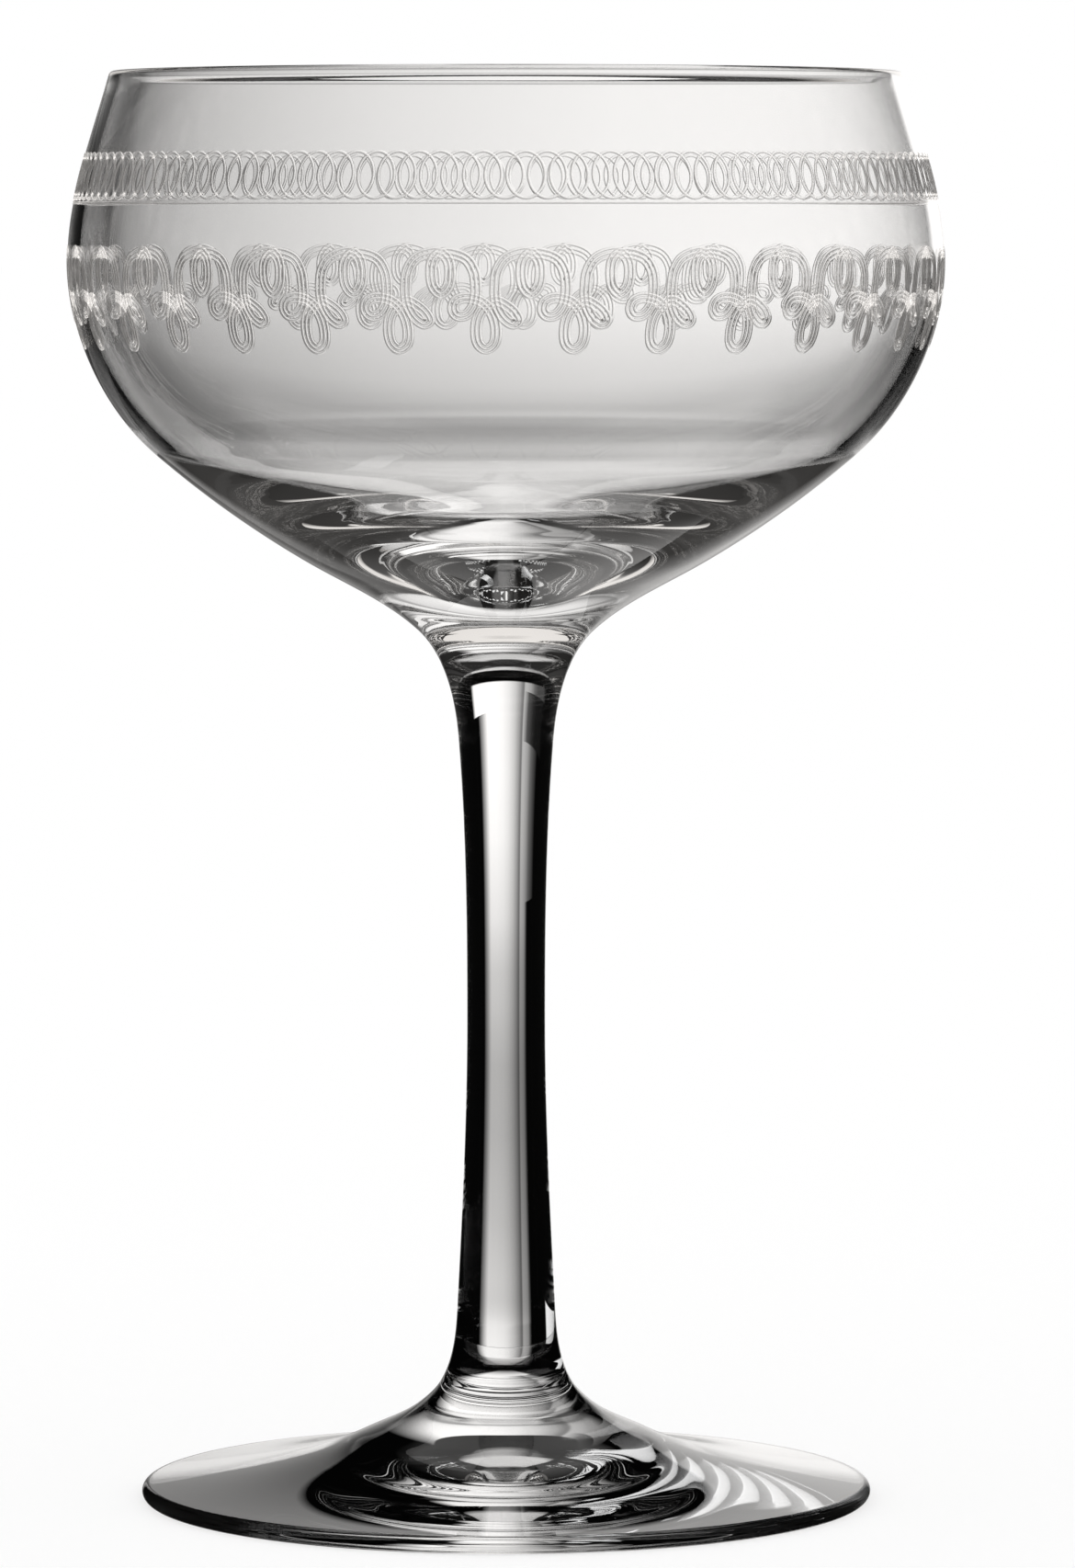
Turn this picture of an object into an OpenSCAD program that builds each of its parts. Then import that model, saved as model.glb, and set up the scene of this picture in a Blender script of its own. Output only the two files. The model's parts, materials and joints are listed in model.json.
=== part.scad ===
// Stemmed coupe glass, blown and drawn in three gathers that are fused hot, one on top of the other.
// The axis is +Z, and the origin is the middle of the ring that the foot stands on.

/* [Foot] */
// Widest diameter of the foot
foot_d = 78.8; // [64:0.5:92]
// Height of the foot, from the table to its weld with the stem
foot_h = 12.7; // [10:0.1:16]
// Thickness of the foot at its rounded edge
foot_edge_t = 1.9; // [1.4:0.1:2.8]
// Width of the flat ring that rests on the table
land_w = 1.6; // [0.8:0.1:3]
// Height of the shallow hollow under the foot, at its middle
hollow_h = 2.2; // [0.6:0.1:3]
// Diameter of the weld between the foot and the stem
ankle_weld_d = 14.1; // [12:0.1:17]

/* [Stem] */
// Length of the stem, from weld to weld
stem_l = 77.7; // [55:0.2:110]
// Diameter of the stem at its thinnest
waist_d = 8.4; // [6.4:0.1:10]
// Height of the thinnest place above the weld with the foot
waist_up = 39.6; // [24:0.5:46]
// Diameter of the stem where it starts to flare towards the foot
ankle_d = 10.4; // [8.4:0.1:12]
// Height of that place above the weld with the foot
ankle_up = 9.7; // [6:0.1:14]
// Diameter of the stem where it starts to flare towards the bowl
throat_d = 10.2; // [8.4:0.1:12]
// Distance of that place below the weld with the bowl
throat_down = 8.3; // [5:0.1:14]

/* [Bowl] */
// Height of the bowl, from its weld with the stem to the rim
bowl_h = 63.4; // [54:0.2:76]
// Widest diameter of the bowl
belly_d = 94.1; // [84:0.1:110]
// Height of the widest place above the weld with the stem
belly_up = 43.1; // [36:0.2:50]
// Diameter of the rim, at the middle of its wall
rim_d = 84.0; // [74:0.1:100]
// Diameter of the weld between the bowl and the stem
throat_weld_d = 14.0; // [12:0.1:17]
// Height of the cavity's lowest point above the weld with the stem
floor_up = 10.1; // [8:0.1:13]

/* [Walls of the bowl] */
// Thickness of the wall at the rim
rim_wall = 1.2; // [0.9:0.05:1.8]
// Thickness of the wall at the widest place
belly_wall = 1.3; // [0.9:0.05:2]
// Thickness of the wall where the side turns in, above the solid base
shoulder_wall = 1.6; // [1:0.05:2.6]

/* [Lean of the outline] */
// Lean of the wall at the rim, in degrees from upright
rim_lean = 15.8; // [4:0.2:22]
// Lean of the bowl's underside at the weld, in degrees from upright
throat_lean = 24.8; // [10:0.2:34]
// Lean of the foot's top at its weld, in degrees from upright
ankle_lean = 30; // [14:0.5:42]

/* [Hidden] */
$fn = 96;
glass = [0.80, 0.86, 0.88, 0.45];

// Points along each stretch of an outline, and along the half circle of a rounded edge
stretch_steps = 12;
edge_steps = 12;

// A station is [radius, height, heading]. The heading is the way along the outline, in degrees:
// -90 is straight down, -180 is straight in towards the axis.
down = -90;
inward = -180;

foot_r = foot_d / 2;
edge_r = foot_edge_t / 2;
ankle_weld_r = ankle_weld_d / 2;
throat_weld_r = throat_weld_d / 2;
belly_r = belly_d / 2;
rim_r = rim_d / 2;
lip_r = rim_wall / 2;

// Turning points of the foot's top: share of the way out, share of the way down, and heading
foot_collar_share = [0.065, 0.204, -40];
foot_slope_share = [0.291, 0.546, -26.6];
foot_plate_share = [0.467, 0.727, -15];
foot_brim_heading = -6;

// Turning points of the bowl's side: share of the way from the weld out to the belly,
// share of the way up to it, and heading
shoulder_share = [0.767, 0.522, -139.2];
hip_share = [0.363, 0.254, -149.7];
neck_share = [0.0614, 0.0817, -137.4];

// Turning points of the cavity's floor: share of the way from the axis out to the cavity's shoulder,
// share of the way up to it, and heading
floor_side_share = [0.772, 0.595, -150];
floor_well_share = [0.29, 0.191, -167];

// Slight turns of the stem where its flares begin
throat_heading = -94.6;
ankle_heading = -87;

// Unit direction of an angle
function dir(a) = [cos(a), sin(a)];

// The place of a station, without its heading
function place(s) = [s[0], s[1]];

// The station a thickness t inside another one, on the same heading
function inside(s, t) =
    let (p = place(s) - t * dir(s[2] - down))
    [p[0], p[1], s[2]];

// Points of one smooth stretch from station a up to station b, which it leaves out.
// It is a cubic that leaves and arrives on the stations' headings.
function stretch(a, b) =
    let (span = norm(place(b) - place(a)))
    [for (i = [0:stretch_steps - 1])
        let (t = i / stretch_steps)
        (2 * t^3 - 3 * t^2 + 1) * place(a) + (t^3 - 2 * t^2 + t) * span * dir(a[2])
        + (3 * t^2 - 2 * t^3) * place(b) + (t^3 - t^2) * span * dir(b[2])];

// Points of an outline through all its stations, the last one included
function outline(stations) = concat(
    [for (k = [1:len(stations) - 1]) for (p = stretch(stations[k - 1], stations[k])) p],
    [place(stations[len(stations) - 1])]);

// Points of a half circle about a centre, turning from angle a to angle a + 180
function half_round(centre, r, a) =
    [for (i = [1:edge_steps - 1]) centre + r * dir(a + 180 * i / edge_steps)];

// The same points in the opposite order
function reversed(points) = [for (i = [len(points) - 1:-1:0]) points[i]];

// Foot: a solid disc with a domed top, a rounded edge, a flat ring to stand on and a hollow middle
brim = [foot_r - edge_r, foot_edge_t, foot_brim_heading];
function foot_station(share) = [
    ankle_weld_r + share[0] * (brim[0] - ankle_weld_r),
    foot_h + share[1] * (brim[1] - foot_h),
    share[2]];
foot_top = outline([
    [ankle_weld_r, foot_h, down + ankle_lean],
    foot_station(foot_collar_share),
    foot_station(foot_slope_share),
    foot_station(foot_plate_share),
    brim]);
hollow_r = brim[0] - land_w;
foot_hollow = [for (i = [0:stretch_steps - 1])
    let (t = i / stretch_steps)
    [hollow_r * (1 - t), hollow_h * sin(90 * t)^2]];

module foot() {
    color(glass)
    rotate_extrude()
    polygon(concat(
        [[0, foot_h]],
        foot_top,
        reversed(half_round([brim[0], edge_r], edge_r, down)),
        [[brim[0], 0]],
        foot_hollow,
        [[0, hollow_h]]));
}

// Stem: a drawn rod with a long waist that flares to meet both welds
stem_side = outline([
    [throat_weld_r, stem_l, down - throat_lean],
    [throat_d / 2, stem_l - throat_down, throat_heading],
    [waist_d / 2, waist_up, down],
    [ankle_d / 2, ankle_up, ankle_heading],
    [ankle_weld_r, 0, down + ankle_lean]]);

module stem() {
    color(glass)
    translate([0, 0, foot_h])
    rotate_extrude()
    polygon(concat([[0, stem_l]], stem_side, [[0, 0]]));
}

// Bowl: a thin blown wall over a thick solid base, closed by a rounded lip
belly = [belly_r, belly_up, down];
function bowl_station(share) = [
    throat_weld_r + share[0] * (belly_r - throat_weld_r),
    share[1] * belly_up,
    share[2]];
shoulder = bowl_station(shoulder_share);
rim = [rim_r, bowl_h - lip_r, down + rim_lean];
bowl_outside = outline([
    inside(rim, -lip_r),
    belly,
    shoulder,
    bowl_station(hip_share),
    bowl_station(neck_share),
    [throat_weld_r, 0, down - throat_lean]]);
cavity_shoulder = inside(shoulder, shoulder_wall);
function floor_station(share) = [
    share[0] * cavity_shoulder[0],
    floor_up + share[1] * (cavity_shoulder[1] - floor_up),
    share[2]];
bowl_inside = outline([
    inside(rim, lip_r),
    inside(belly, belly_wall),
    cavity_shoulder,
    floor_station(floor_side_share),
    floor_station(floor_well_share),
    [0, floor_up, inward]]);

module bowl() {
    color(glass)
    translate([0, 0, foot_h + stem_l])
    rotate_extrude()
    polygon(concat(
        bowl_outside,
        [[0, 0]],
        reversed(bowl_inside),
        reversed(half_round(place(rim), lip_r, rim_lean))));
}

foot();
stem();
bowl();
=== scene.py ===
# %% [markdown]
# # A coupe glass
#
# A coupe is a stemmed glass with a wide, shallow bowl. This one is clear crystal glass in three
# pieces: a blown bowl, a drawn stem and a pressed foot, fused hot at two welds. Round the outside
# of the bowl two bands of fine lines are engraved.
#
# Clear glass has hardly any colour of its own. What we see in it is the light behind it, bent by
# its shape. So this lesson has three parts: true shapes, a true glass, and a plain light to bend.

import json
import math

import bmesh
import bpy
import numpy as np
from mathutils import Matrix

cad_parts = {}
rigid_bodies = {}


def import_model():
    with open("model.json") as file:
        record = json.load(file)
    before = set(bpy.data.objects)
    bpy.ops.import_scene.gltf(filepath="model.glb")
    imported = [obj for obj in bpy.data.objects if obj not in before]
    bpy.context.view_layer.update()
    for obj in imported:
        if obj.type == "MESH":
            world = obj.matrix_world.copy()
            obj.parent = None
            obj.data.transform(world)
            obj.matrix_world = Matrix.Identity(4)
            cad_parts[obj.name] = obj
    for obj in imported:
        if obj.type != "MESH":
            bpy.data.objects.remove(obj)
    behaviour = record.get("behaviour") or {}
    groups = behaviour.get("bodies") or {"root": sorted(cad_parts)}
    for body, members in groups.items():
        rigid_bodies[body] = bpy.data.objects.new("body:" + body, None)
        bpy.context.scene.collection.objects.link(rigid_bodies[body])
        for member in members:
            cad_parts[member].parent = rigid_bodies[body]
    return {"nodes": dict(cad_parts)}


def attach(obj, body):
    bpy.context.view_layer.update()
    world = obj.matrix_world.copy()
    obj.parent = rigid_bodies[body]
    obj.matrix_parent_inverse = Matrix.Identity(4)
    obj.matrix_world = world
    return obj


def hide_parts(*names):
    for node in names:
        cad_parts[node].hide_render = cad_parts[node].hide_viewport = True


for leftover in list(bpy.data.objects):
    bpy.data.objects.remove(leftover)
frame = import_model()
bpy.context.view_layer.update()

MM = 0.001
print("solid pieces:", sorted(frame["nodes"]))

# %% [markdown]
# ## The camera
#
# The glass was photographed from about its own height, a little above the middle of the bowl, with
# a long lens. The rim's ellipse is very flat and the foot's is much rounder, which tells how high
# the camera stood and how far away. It looks down by 4 degrees, so the lens needs no shift.

# %% Place the camera
PHOTO_H = 1706
FOCAL_PIXELS = 8914
# The film's long side in mm, which is as high as the picture
FILM = 36
CAMERA_AWAY = 880 * MM
CAMERA_UP = 138.24 * MM
CAMERA_ASIDE = 3.38 * MM
CAMERA_TILT = math.radians(3.959)
LEVEL = math.radians(90)
NEAREST_SEEN = 0.01
FARTHEST_SEEN = 100

lens = bpy.data.cameras.new("camera")
lens.sensor_width = FILM
lens.lens = FILM * FOCAL_PIXELS / PHOTO_H
lens.clip_start = NEAREST_SEEN
lens.clip_end = FARTHEST_SEEN
camera = bpy.data.objects.new("camera", lens)
bpy.context.scene.collection.objects.link(camera)
camera.location = (CAMERA_ASIDE, -CAMERA_AWAY, CAMERA_UP)
camera.rotation_euler = (LEVEL - CAMERA_TILT, 0, 0)
bpy.context.scene.camera = camera
print("lens", round(lens.lens, 1), "mm, on film", FILM, "mm high")

# %% [markdown]
# ## Reading the outline of each piece
#
# Every piece of this glass is turned: it is one outline swept round the axis. The solid model is a
# mesh of rings, and each ring has one radius and one height. If we sort the rings by which ring
# touches which, we get the outline back, from one end to the other.
#
# We could type the outline in again, but then a change to the solid would leave the looks behind.

# %% Find the rings of a turned solid
SAME_RING = 0.02 * MM
ROUGH_DIGITS = 5

def rings_of(mesh):
    """The rings (radius, height) that a turned mesh's points lie on, and the ring of each point."""
    places = np.array([v.co for v in mesh.vertices])
    flat = np.stack([np.hypot(places[:, 0], places[:, 1]), places[:, 2]], 1)
    rough, group = np.unique(np.round(flat, ROUGH_DIGITS), axis=0, return_inverse=True)
    found, number = [], []
    for point in rough:
        near = [i for i, ring in enumerate(found) if np.hypot(*(point - ring)) < SAME_RING]
        number.append(near[0] if near else len(found))
        if not near:
            found.append(point)
    ring_of = np.array(number)[group.ravel()]
    return [flat[ring_of == i].max(0) for i in range(len(found))], ring_of

bowl_rings, _ = rings_of(frame["nodes"]["bowl"].data)
print("the solid bowl has", len(bowl_rings), "rings")

# %% Walk from ring to ring along the outline
def traced_outline(node):
    """Points (radius, height) along a turned solid, in order, from its highest end to its lowest."""
    mesh = frame["nodes"][node].data
    rings, ring_of = rings_of(mesh)
    touching = {i: set() for i in range(len(rings))}
    for edge in mesh.edges:
        a, b = (ring_of[v] for v in edge.vertices)
        if a != b:
            touching[a].add(b)
            touching[b].add(a)
    ends = [i for i in touching if len(touching[i]) == 1]
    walk = [max(ends, key=lambda i: rings[i][1])]
    while len(walk) == 1 or len(touching[walk[-1]]) == 2:
        onward = [i for i in touching[walk[-1]] if i not in walk]
        if not onward:
            break
        walk.append(onward[0])
    return np.array([rings[i] for i in walk])

outlines = {node: traced_outline(node) for node in ("bowl", "stem", "foot")}
for node, outline in outlines.items():
    print(node, "goes from", np.round(outline[0] / MM, 1), "to", np.round(outline[-1] / MM, 1), "mm")

# %% [markdown]
# ## Smoothing the outline
#
# The solid's outline is a chain of short straight runs, and polished glass shows every one of them
# as a flash of light. A curve through the same points is smooth, and it never leaves the solid by
# more than a few hundredths of a millimetre. Sharp corners, at the welds and at the standing ring,
# stay sharp: the curve starts anew at each one.

# %% Find the corners of an outline
CORNER = math.radians(24)
STRAIGHT = math.radians(0.06)
FULL_TURN = 2 * math.pi

def turns(points):
    """The angle by which a chain of points turns at each of its inner points."""
    runs = np.diff(points, axis=0)
    headings = np.arctan2(runs[:, 1], runs[:, 0])
    return np.abs((np.diff(headings) + math.pi) % FULL_TURN - math.pi)

def without_extras(points):
    """The same chain without the points that lie on a straight run."""
    keep = [i + 1 for i, bend in enumerate(turns(points)) if bend > STRAIGHT]
    return points[[0] + keep + [len(points) - 1]]

def corners_of(points):
    """Which points of a chain are its two ends and its sharp corners."""
    sharp = [i + 1 for i, bend in enumerate(turns(points)) if bend > CORNER]
    return [0] + sharp + [len(points) - 1]

for node, outline in outlines.items():
    print(node, "has", len(corners_of(without_extras(outline))) - 2, "sharp corners")

# %% Run a smooth curve between the corners
OUTLINE_STEPS = 3

def blend(a, b, start, end, t):
    """The place at t on the way from a, at start, to b, at end."""
    return (end - t) / (end - start) * a + (t - start) / (end - start) * b

def smooth_run(points, steps):
    """A centripetal curve through every point of one run. The root of each distance keeps it calm."""
    if len(points) < 3:
        return points
    ends = [2 * points[0] - points[1], *points, 2 * points[-1] - points[-2]]
    chain = []
    for a, b, c, d in zip(ends, ends[1:], ends[2:], ends[3:]):
        ta = 0.0
        tb = ta + math.sqrt(np.hypot(*(b - a)))
        tc = tb + math.sqrt(np.hypot(*(c - b)))
        td = tc + math.sqrt(np.hypot(*(d - c)))
        for step in range(steps):
            t = tb + (tc - tb) * step / steps
            abc = blend(blend(a, b, ta, tb, t), blend(b, c, tb, tc, t), ta, tc, t)
            bcd = blend(blend(b, c, tb, tc, t), blend(c, d, tc, td, t), tb, td, t)
            chain.append(blend(abc, bcd, tb, tc, t))
    return np.array(chain + [points[-1]])

def smooth_outline(points):
    """The whole outline, curved between its corners and kept inside its own box."""
    points = without_extras(points)
    corners = corners_of(points)
    runs = [smooth_run(points[a:b + 1], OUTLINE_STEPS) for a, b in zip(corners, corners[1:])]
    curve = np.vstack([run[:-1] for run in runs] + [points[-1:]])
    curve[:, 0] = np.clip(curve[:, 0], 0, points[:, 0].max())
    curve[:, 1] = np.clip(curve[:, 1], points[:, 1].min(), points[:, 1].max())
    return curve

curves = {node: smooth_outline(outline) for node, outline in outlines.items()}
print("points on the smooth outlines:", {node: len(curve) for node, curve in curves.items()})

# %% [markdown]
# ## Room for the cut lines
#
# The engraved lines will stand a hair above the bowl's wall, and the looks must stay inside the
# solid model. So the bowl that we see is turned that hair slimmer.

# %% Turn the bowl a hair slimmer
CUT_DEPTH = 0.08 * MM
PROUD = 0.004 * MM
widest = curves["bowl"][:, 0].max()
curves["bowl"][:, 0] *= 1 - (CUT_DEPTH + PROUD) / widest
print("the bowl is turned", round((CUT_DEPTH + PROUD) / MM, 3), "mm slimmer at", round(widest / MM, 2), "mm")

# %% [markdown]
# ## A skin that faces outwards
#
# Light bends the right way only where each face of a mesh knows which side is air and which is
# glass. So every closed piece gets its faces turned outwards. It is shaded smooth, as polished
# glass is, except at corners that are really sharp.

# %% Make a piece from its places and faces
def glass_piece(name, places, faces, materials, corner):
    """A closed piece whose skin faces outwards, smooth but for turns sharper than corner."""
    mesh = bpy.data.meshes.new(name)
    mesh.from_pydata(places, [], faces)
    for material in materials:
        mesh.materials.append(material)
    shape = bmesh.new()
    shape.from_mesh(mesh)
    bmesh.ops.recalc_face_normals(shape, faces=shape.faces)
    shape.to_mesh(mesh)
    shape.free()
    mesh.shade_smooth()
    mesh.set_sharp_from_angle(angle=corner)
    piece = bpy.data.objects.new(name, mesh)
    bpy.context.scene.collection.objects.link(piece)
    print(name, "has", len(mesh.polygons), "faces")
    return piece

# %% [markdown]
# ## Turning a piece
#
# A glass is round because it is spun while it is soft. Here the outline is swept round the axis in
# fine steps. Where the outline starts or ends at a weld, a flat disc closes the piece, so each
# piece is a whole solid that could be lifted out by itself. The disc gets a second material.

# %% Sweep an outline round the axis
TURN_STEPS = 240
ON_AXIS = 0.001 * MM
SEAM_MATERIAL = 1

def turned_piece(name, curve, glass, seam):
    """A closed solid of revolution. Its flat ends, where it is fused to the next piece, are seams."""
    angles = np.arange(TURN_STEPS) * FULL_TURN / TURN_STEPS
    places, rings, faces = [], [], []
    for radius, height in curve:
        if radius < ON_AXIS:
            rings.append([len(places)] * TURN_STEPS)
            places.append((0, 0, height))
        else:
            rings.append(list(range(len(places), len(places) + TURN_STEPS)))
            places += [(radius * math.cos(a), radius * math.sin(a), height) for a in angles]
    for upper, lower in zip(rings, rings[1:]):
        for i in range(TURN_STEPS):
            j = (i + 1) % TURN_STEPS
            faces.append(list(dict.fromkeys((upper[i], upper[j], lower[j], lower[i]))))
    discs = [ring for ring in (rings[0], rings[-1]) if ring[0] != ring[-1]]
    piece = glass_piece(name, places, faces + discs, (glass, seam), CORNER)
    for disc in range(len(faces), len(faces) + len(discs)):
        piece.data.polygons[disc].material_index = SEAM_MATERIAL
    print(name, "has", len(discs), "seams")
    return piece

# %% [markdown]
# ## Materials from nodes
#
# A material is a small net of nodes: numbers and colours flow through it to the surface. Four
# short helpers keep the nets readable: one adds a node and joins it up, one starts a new material,
# one makes a level that changes from place to place, and one does a sum.

# %% Write the helpers for nodes
def node_maker(tree):
    """A short way to add a node and set its inputs by name."""
    def make(kind, inputs=None, **settings):
        node = tree.nodes.new(kind)
        for key, value in settings.items():
            setattr(node, key, value)
        for key, value in (inputs or {}).items():
            if isinstance(value, bpy.types.NodeSocket):
                tree.links.new(value, node.inputs[key])
            else:
                node.inputs[key].default_value = value
        return node
    return make

def new_material(name):
    """An empty material, and the maker of its nodes."""
    material = bpy.data.materials.new(name)
    material.use_nodes = True
    material.node_tree.nodes.clear()
    print("new material:", name)
    return material, node_maker(material.node_tree)

def by_place(make, value, stops):
    """A level that runs through (place, level) stops."""
    low, high = stops[0][0], stops[-1][0]
    share = make("ShaderNodeMapRange", {"Value": value, "From Min": low, "From Max": high})
    ramp = make("ShaderNodeValToRGB", {0: share.outputs[0]})
    marks = ramp.color_ramp.elements
    while len(marks) > 1:
        marks.remove(marks[0])
    for i, (place, level) in enumerate(stops):
        position = (place - low) / (high - low)
        mark = marks[0] if i == 0 else marks.new(position)
        mark.position = position
        mark.color = (level, level, level, 1)
    return ramp.outputs[0]

def sums(make, kind, a, b):
    """One sum of two numbers: ADD, MULTIPLY, GREATER_THAN and so on."""
    return make("ShaderNodeMath", {0: a, 1: b}, operation=kind).outputs[0]

# %% [markdown]
# ## A fire-polished skin
#
# Real blown glass is not quite even: its skin waves very slightly, and it has hair-fine wipe marks
# and specks from use. Both come from noise in the piece's own space, at their real sizes, and so
# faint that they only show where the light is edge-on.

# %% Give the skin its waves and wipe marks
WAVE_STRENGTH = 0.25
WAVE_HEIGHT = 0.02 * MM
WAVE_DETAIL = 1.0
WIPE_SIZE = 0.8 * MM
WIPE_DETAIL = 3.0
# Where the noise is below the first level the skin is polished, and from the second on it is wiped
WIPE_STARTS, WIPE_FULL = 0.66, 0.82
WIPE_ROUGHNESS = 0.012

def polished_skin(make, spot, wave_size):
    """The slope and the roughness of a skin that waves at the given size."""
    waves = make("ShaderNodeTexNoise", {"Vector": spot, "Scale": 1 / wave_size, "Detail": WAVE_DETAIL})
    slope = make("ShaderNodeBump", {"Height": waves.outputs["Fac"], "Strength": WAVE_STRENGTH,
                                    "Distance": WAVE_HEIGHT})
    wipes = make("ShaderNodeTexNoise", {"Vector": spot, "Scale": 1 / WIPE_SIZE, "Detail": WIPE_DETAIL})
    haze = make("ShaderNodeMapRange", {"Value": wipes.outputs["Fac"], "From Min": WIPE_STARTS,
                                       "From Max": WIPE_FULL, "To Min": 0.0, "To Max": WIPE_ROUGHNESS})
    return slope.outputs[0], haze.outputs[0]

print("wipe marks are about", WIPE_SIZE / MM, "mm fine")

# %% [markdown]
# ## Clear crystal glass
#
# The glass is colourless and bends light by an index of 1.52.
#
# Some light gets caught: it runs round inside the wall or the thick base and can't get out where
# the skin is smooth. A cut line or a scratch lets it out in the end. A ray that has met glass 18
# times is therefore given a painted glow that stands in for the caught light.
#
# A grained skin or a thick base also scatters a little of the room's light, a faint haze over what
# is behind it. That haze is painted light: a very dim glow of the skin's own, added to it.
#
# Glass darkens the table only a little. For rays that go to a lamp the glass is a thin clear film,
# because a ray that has to bend its way to a lamp would take very long to find it.

# %% Mix the glass
CLEAR = (1.0, 1.0, 1.0, 1.0)
GLASS_INDEX = 1.52
THROUGH_GLASS = 0.93
# A ray that has met glass more often than this gets a painted glow in the caught light's warm tint
CAUGHT_AFTER = 18
CAUGHT_TINT = (1.0, 0.96, 0.92, 1)

def crystal(name, wave_size, caught, painted_glow=0.0, painted_veil=None):
    """Clear glass with waves of the given size, and a painted glow for caught light by (height, level).

    It is painted with a glow for scattered light: one level everywhere, or (height, level) stops.
    """
    material, make = new_material(name)
    spot = make("ShaderNodeTexCoord").outputs["Object"]
    slope, haze = polished_skin(make, spot, wave_size)
    clear_body = make("ShaderNodeBsdfPrincipled", {
        "Roughness": haze, "IOR": GLASS_INDEX, "Transmission Weight": 1.0, "Base Color": CLEAR,
        "Normal": slope})
    height = make("ShaderNodeSeparateXYZ", {0: spot}).outputs[2]
    # Painted glow: a dim emission on the skin that stands in for light scattered by a grained skin or a
    # thick base
    scattered = make("ShaderNodeEmission", {
        "Color": CAUGHT_TINT, "Strength": by_place(make, height, painted_veil) if painted_veil else painted_glow})
    body = make("ShaderNodeAddShader", {0: clear_body.outputs[0], 1: scattered.outputs[0]})
    film = make("ShaderNodeBsdfTransparent", {"Color": (THROUGH_GLASS,) * 3 + (1,)})
    rays = make("ShaderNodeLightPath").outputs
    glass = make("ShaderNodeMixShader", {0: rays["Is Shadow Ray"], 1: body.outputs[0],
                                         2: film.outputs[0]})
    # Painted glow for the caught light, by height
    glow = make("ShaderNodeEmission", {"Color": CAUGHT_TINT, "Strength": by_place(make, height, caught)})
    is_caught = sums(make, "GREATER_THAN", rays["Ray Depth"], CAUGHT_AFTER)
    look = make("ShaderNodeMixShader", {0: is_caught, 1: glass.outputs[0], 2: glow.outputs[0]})
    make("ShaderNodeOutputMaterial", {"Surface": look.outputs[0]})
    material.cycles.emission_sampling = "NONE"
    return material

# %% [markdown]
# ## One glass for each piece
#
# The blown bowl waves in larger swells than the drawn stem, and the foot in the largest. The caught
# light is painted as a glow by height: in the bowl it is a dim brown-grey in the thick base, all but
# dark in the plain wall, and pale near the rim, where the cut lines let it out. Stem and foot catch
# hardly any.

# %% Mix the glass of bowl, stem and foot
BOWL_WAVES = 22 * MM
# Painted glow of the caught light in the bowl, by (height, level): brown-grey base, pale rim
BOWL_CAUGHT = [(90 * MM, 0.03), (98 * MM, 0.10), (107 * MM, 0.12),
               (109 * MM, 0.01), (138 * MM, 0.01), (144 * MM, 0.85)]
# Painted glow over the bowl's thick base, by (height, level)
BASE_PAINTED_VEIL = [(89 * MM, 0.0), (94 * MM, 0.006), (106 * MM, 0.006), (110 * MM, 0.0)]
STEM_WAVES = 14 * MM
STEM_CAUGHT = [(0, 0.003), (90 * MM, 0.01)]
FOOT_WAVES = 26 * MM
FOOT_CAUGHT = [(0, 0.003), (13 * MM, 0.01)]

bowl_crystal = crystal("bowl_crystal", BOWL_WAVES, BOWL_CAUGHT, painted_veil=BASE_PAINTED_VEIL)
stem_crystal = crystal("stem_crystal", STEM_WAVES, STEM_CAUGHT)
foot_crystal = crystal("foot_crystal", FOOT_WAVES, FOOT_CAUGHT)

# %% [markdown]
# ## The fused seams
#
# Where two gathers of the same glass are fused hot, nothing is left to see: light goes straight
# on. The two flat discs that meet at a weld are therefore perfectly clear.

# %% A seam that can't be seen
fused_seam, make = new_material("fused_seam")
seam_film = make("ShaderNodeBsdfTransparent", {"Color": CLEAR})
make("ShaderNodeOutputMaterial", {"Surface": seam_film.outputs[0]})

# %% [markdown]
# ## Bowl, stem and foot
#
# The bowl is blown: a thin wall over a thick solid base, with a lip that fire has rounded. The stem
# is drawn from the hot base, so it is thin in the middle and flares at both ends. The foot is a
# flattened gather with a domed top and a hollow underneath, so that it stands on a ring.

# %% Turn the three pieces
bowl = turned_piece("crystal_bowl", curves["bowl"], bowl_crystal, fused_seam)
stem = turned_piece("crystal_stem", curves["stem"], stem_crystal, fused_seam)
foot = turned_piece("crystal_foot", curves["foot"], foot_crystal, fused_seam)
for piece, node, slot in ((bowl, "bowl", "bowl_glass"), (stem, "stem", "stem_glass"),
                          (foot, "foot", "foot_glass")):
    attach(piece, "root")
    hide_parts(node)

# %% [markdown]
# ## The cut lines
#
# A needle scratches the pattern through a coat of wax, and acid eats clear grooves a third of a
# millimetre wide into the outside of the bowl. A groove bends light: one of its sides shows what is
# further left or higher, and the other what is further right or lower. So over a grey window each
# line has a white side and a dark side, and over plain white it all but vanishes.
#
# The grooves could be a bump in the glass's finish, but then the shape would be flat, and dents
# this fine in the bowl's mesh would need millions of faces. So each groove is a slim strip of glass
# of its own, with a notch along its middle. The strips lie on the bowl's outside and follow it.

# %% Follow the bowl's outside
LEAN_STEP = 0.2 * MM
rim_top = int(np.argmax(curves["bowl"][:, 1]))
outside = curves["bowl"][rim_top:][::-1]

def wall_at(height):
    """Radius of the bowl's outside at a height, and how far it leans outwards there."""
    radius = np.interp(height, outside[:, 1], outside[:, 0])
    rise = np.interp(height + LEAN_STEP, outside[:, 1], outside[:, 0])
    fall = np.interp(height - LEAN_STEP, outside[:, 1], outside[:, 0])
    return radius, np.arctan2(rise - fall, 2 * LEAN_STEP)

print("the outside runs from", round(outside[0, 1] / MM, 1), "to", round(outside[-1, 1] / MM, 1), "mm up")

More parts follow.
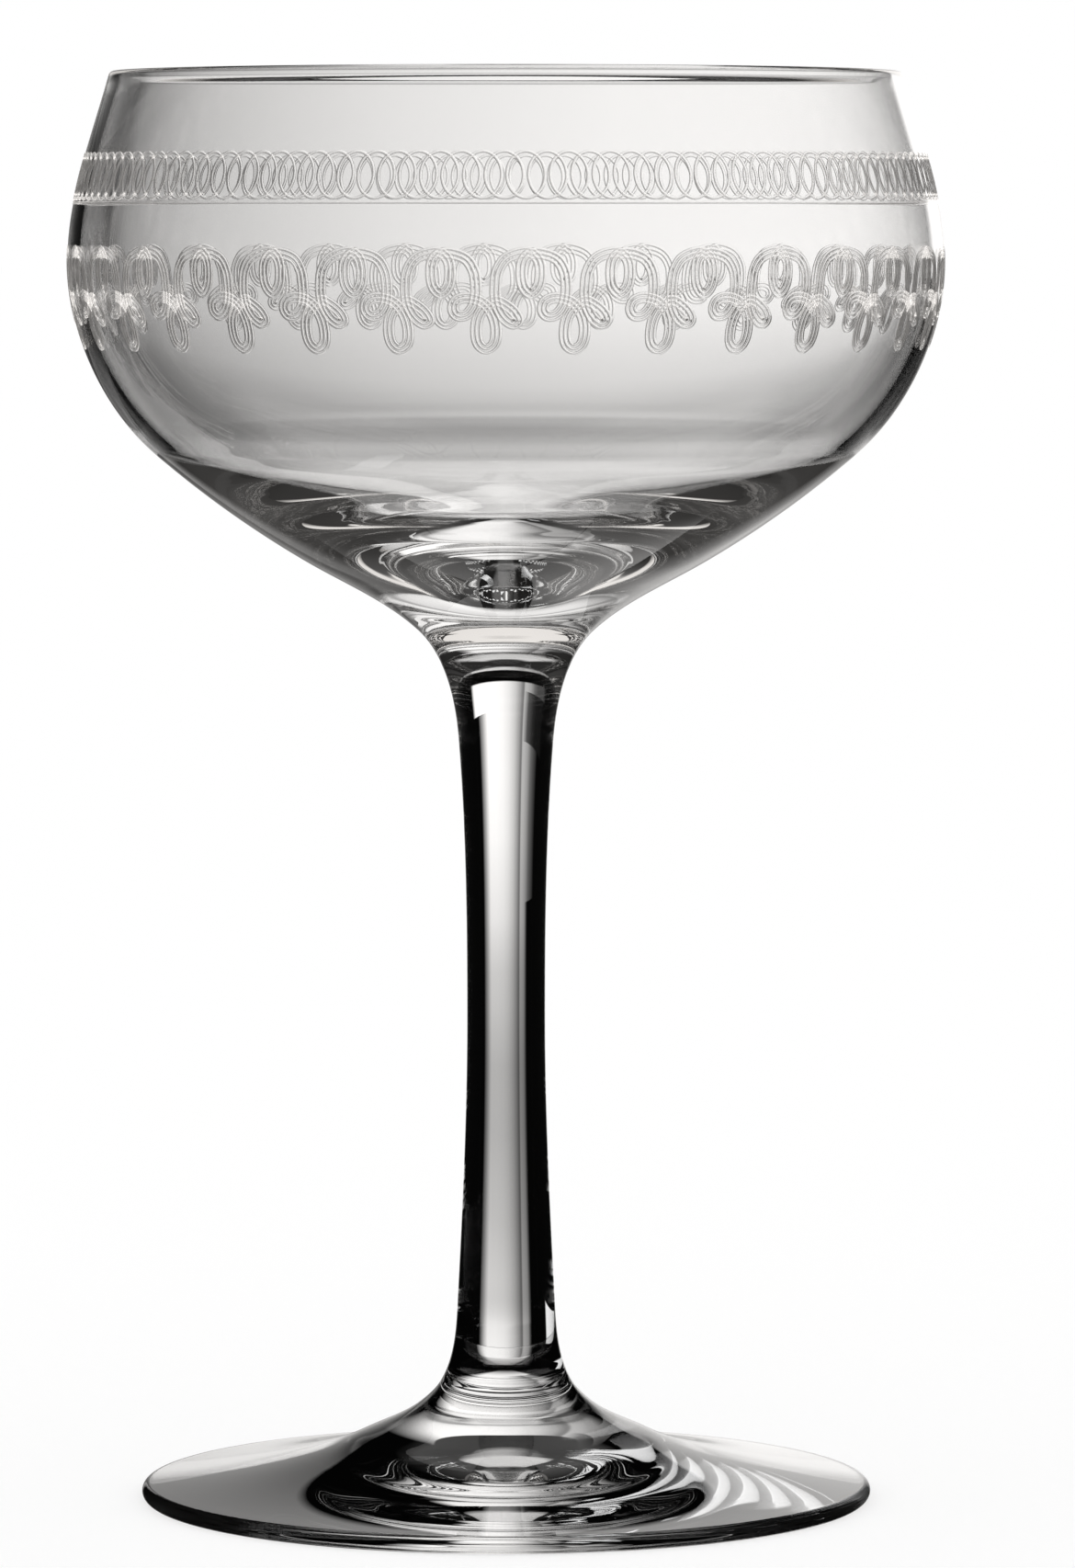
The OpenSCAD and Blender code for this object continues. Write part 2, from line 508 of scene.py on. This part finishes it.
# %% Lay a notched strip along a line
CUT_W = 0.34 * MM
# The strip's section: (share of the width from its middle, share of the depth above the wall)
SECTION_SHARES = ((-0.5, 0.0), (-0.46, 1.0), (0.0, 0.1), (0.46, 1.0), (0.5, 0.0))

def tube_faces(sections, corners):
    """The faces of a closed tube, where each section's corners are joined to those of the next."""
    faces = []
    for i in range(sections):
        here, there = i * corners, (i + 1) % sections * corners
        for k in range(corners):
            m = (k + 1) % corners
            faces.append((here + k, here + m, there + m, there + k))
    return faces

def strip(line):
    """Places and faces of one strip round a closed line of (angle, height) on the bowl."""
    line = np.array(line)
    step = np.roll(line, -1, axis=0) - np.roll(line, 1, axis=0)
    step[:, 0] = (step[:, 0] + math.pi) % FULL_TURN - math.pi
    radius, _ = wall_at(line[:, 1])
    along = np.stack([step[:, 0] * radius, step[:, 1]], 1)
    along /= np.linalg.norm(along, axis=1, keepdims=True)
    aside = np.stack([-along[:, 1], along[:, 0]], 1)
    rows = []
    for share, rise in SECTION_SHARES:
        shift = aside * share * CUT_W
        angle = line[:, 0] + shift[:, 0] / radius
        height = line[:, 1] + shift[:, 1]
        wall, lean = wall_at(height)
        out = PROUD + rise * CUT_DEPTH
        r = wall + out * np.cos(lean)
        rows.append(np.stack([r * np.sin(angle), -r * np.cos(angle), height - out * np.sin(lean)], 1))
    return np.stack(rows, 1).reshape(-1, 3), tube_faces(len(line), len(SECTION_SHARES))

print("a strip is", CUT_W / MM, "mm wide, and its notch", round(CUT_DEPTH / MM, 2), "mm deep")

# %% Join the strips of one band into one piece
CUT_CORNER = math.radians(50)

def cut_piece(name, lines, material):
    """All the grooves of one band as one piece."""
    places, faces, base = [], [], 0
    for line in lines:
        strip_places, strip_faces = strip(line)
        places.append(strip_places)
        faces += [tuple(corner + base for corner in face) for face in strip_faces]
        base += len(strip_places)
    piece = glass_piece(name, np.vstack(places).tolist(), faces, [material], CUT_CORNER)
    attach(piece, "root")
    print(name, "has", len(lines), "lines")

# %% [markdown]
# ## Etched glass
#
# The grooves are as clear as the bowl, but acid leaves them finely grained. The light this would
# scatter is painted: a groove glows faintly white by itself, even over a dark place.

# %% Mix the etched glass
ETCHED_WAVES = 3 * MM
# Painted glow of the caught light in the grooves, by (height, level)
ETCHED_CAUGHT = [(90 * MM, 0.6), (150 * MM, 0.85)]
# Painted glow, one level all over the grooves
ETCHED_PAINTED_GLOW = 0.035
etched_crystal = crystal("etched_crystal", ETCHED_WAVES, ETCHED_CAUGHT, painted_glow=ETCHED_PAINTED_GLOW)

# %% [markdown]
# ## The band of ovals
#
# High on the bowl a machine has traced one long cycloid: 130 ovals, each overlapping the next by
# almost half. A fine ring runs round the bowl just under them.

# %% Trace the ovals
OVALS = 130
OVAL_TOP = 145.1 * MM
OVAL_BOTTOM = 140.0 * MM
OVAL_W = 4.25 * MM
OVAL_STEPS = 36

def oval(angle, height, half_w, half_h):
    """One closed oval round a place on the bowl."""
    radius, _ = wall_at(height)
    around = np.arange(OVAL_STEPS) * FULL_TURN / OVAL_STEPS
    return [(angle + half_w / radius * math.sin(t), height + half_h * math.cos(t)) for t in around]

oval_middle = (OVAL_TOP + OVAL_BOTTOM) / 2
half_wide = (OVAL_W - CUT_W) / 2
half_high = (OVAL_TOP - OVAL_BOTTOM - CUT_W) / 2
ovals = [oval(FULL_TURN * i / OVALS, oval_middle, half_wide, half_high) for i in range(OVALS)]
cut_piece("oval_band", ovals, etched_crystal)

# %% Trace the ring
RING_UP = 139.75 * MM
RING_STEPS = 480
ring = [(FULL_TURN * i / RING_STEPS, RING_UP) for i in range(RING_STEPS)]
cut_piece("ring_line", [ring], etched_crystal)

# %% [markdown]
# ## The lace band
#
# Round the widest part runs a lace of arches, cut with three needles at once. The path never
# stops: up an arch, round a hanging oval at its crown, down the other side, out into a side loop,
# down round a drop, up into the other side loop and on to the next arch. It repeats 32 times.

# %% Draw one repeat of the lace by its turning points
# Each point is (way round from the drop, height), in mm. The drop hangs at 0 and the next one at
# 8.93, so the arch's crown is at 4.465.
LACE_PITCH = 8.93
LACE_POINTS = [
    (0.97, 131.4), (1.15, 132.7), (1.85, 133.9), (3.00, 134.50), (4.465, 134.62),
    (5.20, 133.9), (5.42, 132.5), (5.15, 131.1), (4.465, 130.45), (3.78, 131.1),
    (3.51, 132.5), (3.73, 133.9), (4.465, 134.55), (5.93, 134.45), (7.08, 133.9),
    (7.78, 132.7), (7.97, 131.4), (7.93, 130.2), (7.60, 129.0), (6.90, 128.25),
    (6.10, 128.2), (5.65, 128.8), (5.85, 129.6), (6.60, 130.0), (7.60, 129.95),
    (8.70, 129.5), (9.60, 128.3), (9.95, 126.7), (9.70, 125.3), (8.93, 124.78),
    (8.16, 125.3), (7.91, 126.7), (8.20, 128.2), (8.93, 129.2), (9.90, 129.75),
    (10.90, 129.3), (11.80, 128.5), (12.15, 127.7), (11.70, 127.35), (10.90, 127.8),
    (10.20, 128.8), (9.90, 130.0),
]
print("one repeat of the lace has", len(LACE_POINTS), "points and is", LACE_PITCH, "mm long")

# %% Cut the lace with three needles
REPEATS = 32
FIRST_DROP = math.radians(-2.3)
LACE_STEPS = 4
NEEDLE_GAP = 0.43 * MM

def needle_line(points, offset):
    """The same path a little to one side: the mark of a second or third needle."""
    ahead = np.gradient(points, axis=0)
    ahead /= np.linalg.norm(ahead, axis=1, keepdims=True)
    return points + offset * np.stack([-ahead[:, 1], ahead[:, 0]], 1)

# One repeat more at each end, so that the path closes on itself smoothly
whole = np.array([((along + k * LACE_PITCH) * MM, height * MM)
                  for k in range(-1, REPEATS + 1) for along, height in LACE_POINTS])
path = smooth_run(whole, LACE_STEPS)
one_repeat = len(LACE_POINTS) * LACE_STEPS
once_round = REPEATS * LACE_PITCH * MM
lace = []
for needle in (-1, 0, 1):
    flat = needle_line(path, needle * NEEDLE_GAP)[one_repeat:one_repeat * (REPEATS + 1)]
    lace.append([(FIRST_DROP + along / once_round * FULL_TURN, height) for along, height in flat])
cut_piece("lace_band", lace, etched_crystal)

# %% [markdown]
# ## The table
#
# The glass stands on a plain white table that runs on into a white backdrop with no edge. Half of
# its brightness is its own, so only a faint shadow shows under the foot, as in a cut-out picture.
# The glass doesn't see the table itself: its dark, glossy image comes with the light further on.

# %% Lay the table
# Half of the table's side, in metres
TABLE_HALF = 20.0
TABLE_WHITE = 0.5

def flat_sheet(name, corners):
    """A flat sheet with four corners."""
    mesh = bpy.data.meshes.new(name)
    mesh.from_pydata(corners, [], [(0, 1, 2, 3)])
    return bpy.data.objects.new(name, mesh)

table = flat_sheet("table", [(-TABLE_HALF, -TABLE_HALF, 0), (TABLE_HALF, -TABLE_HALF, 0),
                             (TABLE_HALF, TABLE_HALF, 0), (-TABLE_HALF, TABLE_HALF, 0)])
bpy.context.scene.collection.objects.link(table)
table.visible_transmission = False
table.visible_glossy = False
print("the table is", 2 * TABLE_HALF, "m wide")

# %% Paint the table white
table_white, make = new_material("table_white")
rays = make("ShaderNodeLightPath")
shaded = make("ShaderNodeBsdfDiffuse", {"Color": (TABLE_WHITE,) * 3 + (1,)})
own = sums(make, "MULTIPLY", rays.outputs["Is Camera Ray"], 1 - TABLE_WHITE)
glow = make("ShaderNodeEmission", {"Strength": own})
both = make("ShaderNodeAddShader", {0: shaded.outputs[0], 1: glow.outputs[0]})
make("ShaderNodeOutputMaterial", {"Surface": both.outputs[0]})
table.data.materials.append(table_white)

# %% [markdown]
# ## Light for glass
#
# Glass is lit from behind. One soft window stands behind it, and a glossy dark table top mirrors
# it. Dark cloths hang to its left and right. Where the glass is thin, light comes straight through
# from the window and the glass is pale. Where it is thick or steep, it bends the view past the
# window's edge into the cloth, and that draws the black edges.
#
# The far things are one big tent round the glass, whose inside glows by direction: degrees to the
# right of straight behind, and degrees up. The tent keeps its place behind the glass when the
# camera moves, as when a glass is turned on its stand. Only rays that have met glass see it.

# %% Pitch the tent
# The tent's radius, in metres
TENT_RADIUS = 30.0
TENT_RINGS = 48
TENT_UP = CAMERA_UP - CAMERA_AWAY * math.sin(CAMERA_TILT)

def stand_behind(thing):
    """Set a thing on the camera's stand: its own x is to the right, y is up and z is to the camera."""
    bpy.context.scene.collection.objects.link(thing)
    thing.parent = camera
    thing.location = (0, 0, -CAMERA_AWAY)
    thing.rotation_euler = (CAMERA_TILT, 0, 0)
    thing.visible_camera = False
    thing.visible_diffuse = False
    thing.visible_shadow = False
    thing.visible_volume_scatter = False

tent_mesh = bpy.data.meshes.new("tent")
tent_shape = bmesh.new()
bmesh.ops.create_uvsphere(tent_shape, u_segments=2 * TENT_RINGS, v_segments=TENT_RINGS,
                          radius=TENT_RADIUS)
tent_shape.to_mesh(tent_mesh)
tent_shape.free()
stand_behind(bpy.data.objects.new("tent", tent_mesh))
print("the tent's middle is", round(TENT_UP / MM, 1), "mm up")

# %% [markdown]
# ## Directions inside the tent
#
# Each spot of the tent lies in one direction from its middle. Two angles name it: how far it is to
# the right of straight behind the glass, and how far up. A patch of light is the product of a
# level across and a level up.

# %% Measure directions in degrees
tent_glow, make = new_material("tent_glow")
tent_glow.cycles.emission_sampling = "NONE"
inside = make("ShaderNodeTexCoord").outputs["Object"]
inward = make("ShaderNodeVectorMath", {0: inside}, operation="NORMALIZE")
right, up, near = make("ShaderNodeSeparateXYZ", {0: inward.outputs[0]}).outputs
turn = sums(make, "ARCTAN2", right, sums(make, "MULTIPLY", near, -1.0))
lift = make("ShaderNodeMath", {0: up}, operation="ARCSINE").outputs[0]
aside_deg = sums(make, "MULTIPLY", turn, math.degrees(1))
up_deg = sums(make, "MULTIPLY", lift, math.degrees(1))

def patch(across, upward, level=1.0):
    """A patch of light: the product of a level across and a level upward, by (degrees, level)."""
    shape = sums(make, "MULTIPLY", by_place(make, aside_deg, across), by_place(make, up_deg, upward))
    return sums(make, "MULTIPLY", shape, level)

# %% [markdown]
# ## The window, its mirror image and the lamp overhead
#
# The window is one even white. Its mirror image in the table fades to a soft grey band and is paler
# again close to the glass. High overhead is a second, dimmer lamp.

# %% Light the window and the lamp
WINDOW_LEVEL = 1.15
WINDOW_ACROSS = [(-38, 0.0), (-34, 1.0), (27, 1.0), (30, 0.0)]
WINDOW_UP = [
    (-14, 0.0), (-13.5, 0.78), (-13, 0.76), (-11, 0.61), (-10, 0.49), (-8.5, 0.42), (-7, 0.42),
    (-6, 0.48), (-5, 0.57), (-4, 0.77), (-2, 0.94), (0, 1.0), (21, 1.0), (22, 0.0)]
IMAGE_ACROSS = [(-25, 0.0), (-20, 0.8), (-10, 0.9), (0, 1.0), (20, 1.0), (28, 0.0)]
IMAGE_UP = [
    (-80, 0.0), (-62, 0.49), (-48, 0.91), (-30, 0.87), (-20, 0.84), (-14, 0.79), (-13.5, 0.0)]
LAMP_LEVEL = 0.65
LAMP_ACROSS = [(-70, 0.0), (-55, 1.0), (55, 1.0), (70, 0.0)]
LAMP_UP = [(38, 0.0), (46, 1.0), (68, 1.0), (75, 0.0)]

window = patch(WINDOW_ACROSS, WINDOW_UP, WINDOW_LEVEL)
mirrored = patch(IMAGE_ACROSS, IMAGE_UP, WINDOW_LEVEL)
overhead = patch(LAMP_ACROSS, LAMP_UP, LAMP_LEVEL)
print("the window is", WINDOW_ACROSS[-1][0] - WINDOW_ACROSS[0][0], "degrees wide")

# %% [markdown]
# ## The room behind the camera
#
# Beside the window it is black. The room behind the camera is a dim grey, brightest at its two
# sides and dark near the floor, which fills the thick base of the bowl. It shines through the
# glass, but its mirror image on the glass's skin is held back, so that dark places stay dark.

# %% Fill in the room
# Levels by degrees from straight behind the glass, the same to the right and to the left
ROOM_SIDE = [(40, 0.0), (60, 0.06), (75, 0.14), (95, 0.20), (125, 0.24), (150, 0.14), (180, 0.12)]
ROOM_ACROSS = [(-place, level) for place, level in reversed(ROOM_SIDE)] + ROOM_SIDE
ROOM_UP = [(-90, 0.0), (-45, 0.03), (-24, 0.3), (-10, 0.9), (0, 1.0), (20, 0.9), (45, 0.5), (90, 0.3)]
MIRRORED_ROOM = 0.15

room_glow = patch(ROOM_ACROSS, ROOM_UP)
is_mirrored = make("ShaderNodeLightPath").outputs["Is Glossy Ray"]
held_back = sums(make, "MULTIPLY", is_mirrored, 1 - MIRRORED_ROOM)
room_seen = sums(make, "MULTIPLY", room_glow, sums(make, "SUBTRACT", 1.0, held_back))
brightness = sums(make, "ADD", sums(make, "ADD", window, mirrored),
                  sums(make, "ADD", overhead, room_seen))
print("the room is at most", max(level for _, level in ROOM_SIDE), "of white")

# %% [markdown]
# ## Light from the matt table
#
# The table is matt. Light that has left it and goes on through the glass should still be the
# room's even soft light and not the tent, so the tent glows evenly for any such ray.

# %% Finish the tent
SOFT_LIGHT = 1.0
TENT_TINT = (1.0, 0.985, 0.97, 1)
# The count of matt surfaces that a ray has left is a whole number, so half of one parts 0 from 1
FIRST_MATT = 0.5

def unless_scattered(make):
    """One for a ray that has only met glass, nought for a ray that has left a matt surface."""
    return sums(make, "LESS_THAN", make("ShaderNodeLightPath").outputs["Diffuse Depth"], FIRST_MATT)

strength = make("ShaderNodeMix", {0: unless_scattered(make), 2: SOFT_LIGHT, 3: brightness},
                data_type="FLOAT")
lit = make("ShaderNodeEmission", {"Color": TENT_TINT, "Strength": strength.outputs[0]})
make("ShaderNodeOutputMaterial", {"Surface": lit.outputs[0]})
tent_mesh.materials.append(tent_glow)
print("the tent's paint has", len(tent_glow.node_tree.nodes), "nodes")

# %% [markdown]
# ## Cloths and cards
#
# Photographers hang black cloths beside glass to give it dark edges, and a card to give it a bright
# one. A cloth here is a flat sheet that stops as much light as its cover says at each place along
# it. It hangs either behind the glass, or beside it and in line with the view. Light that has left
# the matt table goes through every cloth, as it goes past the tent.

# %% Weave a cloth and hang it
CLOTH_BLACK = 0.001

def cloth_look(name, cover, glow, beside):
    """A cloth that glows by itself where it is closed, and is clear where it is open."""
    material, make = new_material(name)
    material.cycles.emission_sampling = "NONE"
    spot = make("ShaderNodeSeparateXYZ", {0: make("ShaderNodeTexCoord").outputs["Object"]}).outputs
    along = sums(make, "MULTIPLY", spot[2], -1.0) if beside else spot[0]
    own = make("ShaderNodeEmission", {"Strength": glow})
    gap = make("ShaderNodeBsdfTransparent", {"Color": CLEAR})
    stopped = sums(make, "MULTIPLY", by_place(make, along, cover), unless_scattered(make))
    look = make("ShaderNodeMixShader", {0: stopped, 1: gap.outputs[0], 2: own.outputs[0]})
    make("ShaderNodeOutputMaterial", {"Surface": look.outputs[0]})
    return material

def hang(name, away, low, high, cover, glow=CLOTH_BLACK, beside=False):
    """A cloth or card, away from the glass, behind it or beside it, between two heights.

    Cover is how much light it stops, by (place along it in mm, share).
    """
    cover = [(place * MM, share) for place, share in cover]
    start, end = cover[0][0], cover[-1][0]
    corners = [(start, low), (end, low), (end, high), (start, high)]
    if beside:
        places = [(away, up - TENT_UP, -along) for along, up in corners]
    else:
        places = [(along, up - TENT_UP, -away) for along, up in corners]
    cloth = flat_sheet(name, places)
    cloth.data.materials.append(cloth_look(name, cover, glow, beside))
    stand_behind(cloth)
    print(name, "hangs", round(away / MM), "mm from the glass")
    return cloth

# %% [markdown]
# ## The sheer cloth
#
# A sheer cloth hangs between the window and the glass, thin in the middle and thicker to the left,
# so the light fades from white at the right to grey at the left.

# %% Hang the sheer cloth
SHEER_AWAY = 600 * MM
SHEER_BOTTOM = -700 * MM
SHEER_TOP = 600 * MM
SHEER_COVER = [
    (-700, 0.96), (-300, 0.94), (-260, 0.88), (-214, 0.68), (-180, 0.57), (-156, 0.55), (-146, 0.82),
    (-138, 0.82), (-126, 0.74), (-116, 0.66), (-104, 0.60), (-92, 0.52), (-76, 0.42), (-52, 0.31),
    (-28, 0.20), (0, 0.12), (17, 0.07), (45, 0.04), (85, 0.0)]
hang("sheer_cloth", SHEER_AWAY, SHEER_BOTTOM, SHEER_TOP, SHEER_COVER)

# %% [markdown]
# ## The black cloths behind
#
# Nearer the glass a black cloth hangs to the right, and three, one above the other, to the left.
# Seen through the bowl's wall they draw its dark sides. The right one and the lowest left one go on
# below the table's top, where they stand for their own mirror images.

# %% Hang the black cloths
BELOW_TABLE = -136 * MM
RIGHT_AWAY = 240 * MM
RIGHT_TOP = 118 * MM
RIGHT_COVER = [(60, 0.0), (80, 0.6), (100, 1.0), (700, 1.0)]
hang("right_cloth", RIGHT_AWAY, BELOW_TABLE, RIGHT_TOP, RIGHT_COVER)

LEFT_AWAY = 300 * MM
LEFT_HIGH_TOP = 175 * MM
LEFT_HIGH_COVER = [(-700, 1.0), (-170, 0.9), (-100, 0.8), (-78, 0.0)]
LEFT_MIDDLE_TOP = 90 * MM
LEFT_MIDDLE_COVER = [(-700, 1.0), (-180, 1.0), (-150, 0.0)]
LEFT_LOW_TOP = 45 * MM
LEFT_LOW_COVER = [(-700, 1.0), (-125, 1.0), (-105, 0.0)]
hang("left_cloth_high", LEFT_AWAY, LEFT_MIDDLE_TOP, LEFT_HIGH_TOP, LEFT_HIGH_COVER)
hang("left_cloth_middle", LEFT_AWAY, LEFT_LOW_TOP, LEFT_MIDDLE_TOP, LEFT_MIDDLE_COVER)
hang("left_cloth_low", LEFT_AWAY, BELOW_TABLE, LEFT_LOW_TOP, LEFT_LOW_COVER)

# %% [markdown]
# ## The cloths beside the stem
#
# A stem is a thick round rod that shows everything round it in its edges. Low cloths close by, at
# both sides and further to the front, keep those edges black.

# %% Hang the cloths beside the stem
BESIDE_STEM = 60 * MM
STEM_CLOTH_TOP = 84 * MM
FRONT_CLOTH_TOP = 74 * MM
BESIDE_COVER = [(-12, 0.0), (-8, 1.0), (60, 1.0), (74, 0.0)]
FRONT_COVER = [(-130, 0.0), (-100, 1.0), (-12, 1.0), (-8, 0.0)]
for side, away in (("right", BESIDE_STEM), ("left", -BESIDE_STEM)):
    hang("cloth_beside_" + side, away, -STEM_CLOTH_TOP, STEM_CLOTH_TOP, BESIDE_COVER, beside=True)
    hang("cloth_in_front_" + side, away, -STEM_CLOTH_TOP, FRONT_CLOTH_TOP, FRONT_COVER, beside=True)

# %% [markdown]
# ## The two cards
#
# Low at the left stands a white card. It shines through the foot and makes its right side bright,
# but on the bowl's skin it would be a stray gleam, so mirror images leave it out. High at the
# right a black card draws the dark line down the bowl's side.

# %% Stand up the cards
WHITE_ASIDE = -52 * MM
WHITE_BOTTOM = -34 * MM
WHITE_TOP = 6 * MM
WHITE_GLOW = 0.95
WHITE_COVER = [(-4, 0.0), (0, 1.0), (56, 1.0), (60, 0.0)]
white_card = hang("white_card", WHITE_ASIDE, WHITE_BOTTOM, WHITE_TOP, WHITE_COVER,
                  glow=WHITE_GLOW, beside=True)
white_card.visible_glossy = False

BLACK_ASIDE = 90 * MM
BLACK_BOTTOM = 106 * MM
BLACK_TOP = 140 * MM
BLACK_COVER = [(-140, 0.0), (-130, 1.0), (8, 1.0), (12, 0.0)]
hang("black_card", BLACK_ASIDE, BLACK_BOTTOM, BLACK_TOP, BLACK_COVER, beside=True)

# %% [markdown]
# ## The room
#
# The room is plain white at a strength of one, so a colour renders about as it is written, and the
# camera sees a white background.

# %% Fill the room with soft light
ROOM_WHITE = (1.0, 1.0, 1.0, 1.0)
room = bpy.data.worlds.new("room")
bpy.context.scene.world = room
room.use_nodes = True
room.node_tree.nodes.clear()
make = node_maker(room.node_tree)
white = make("ShaderNodeBackground", {"Color": ROOM_WHITE, "Strength": SOFT_LIGHT})
make("ShaderNodeOutputWorld", {"Surface": white.outputs[0]})
print("the room's light has a strength of", SOFT_LIGHT)

# %% [markdown]
# ## How far light may go
#
# A look through the bowl passes four walls, and the solid base throws light to and fro inside it
# many times. Each pass is one bounce, so glass needs far more bounces than a plain room.

# %% Let light bounce often enough
BOUNCES = 32
tracer = bpy.context.scene.cycles
tracer.max_bounces = BOUNCES
tracer.transmission_bounces = BOUNCES
tracer.glossy_bounces = BOUNCES
tracer.transparent_max_bounces = BOUNCES
bpy.context.scene.view_settings.view_transform = "Standard"
print("light may bounce", BOUNCES, "times")

# %% [markdown]
# ## Finish
#
# The looks must stay inside the solid's box. At the end the scene is brought up to date.

# %% Bring the scene up to date and close the lesson
bpy.context.view_layer.update()
